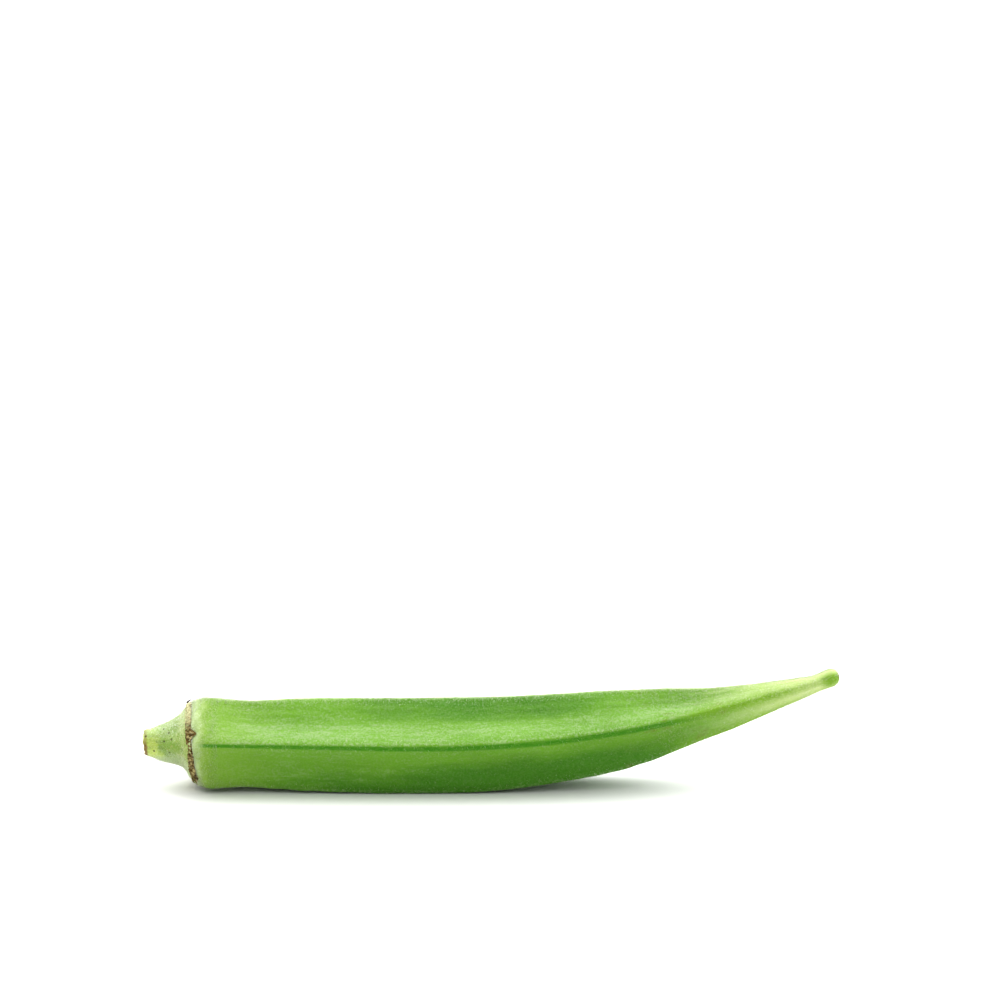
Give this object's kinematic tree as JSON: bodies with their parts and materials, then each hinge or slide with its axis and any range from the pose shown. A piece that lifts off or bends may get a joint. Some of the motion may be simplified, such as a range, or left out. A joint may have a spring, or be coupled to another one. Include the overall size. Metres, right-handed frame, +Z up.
{
  "type": "okra pod",
  "caption": "Whole fresh okra pod lying down, a long five-ridged green capsule with a lifted blunt tip, a dry calyx scar and a short cut stem.",
  "frame": {"origin": "middle of the outline seen from above, on the surface that the pod lies on", "axes": "+X from the cut stem to the tip, +Z up from the surface, +Y across the pod"},
  "size_m": [0.145, 0.0198, 0.0238],
  "materials": {
    "skin": "satin",
    "scar": "matte",
    "cap": "matte"
  },
  "bodies": {
    "root": {"pod": "skin", "calyx_scar": "scar", "stem_cap": "cap"}
  },
  "joints": []
}
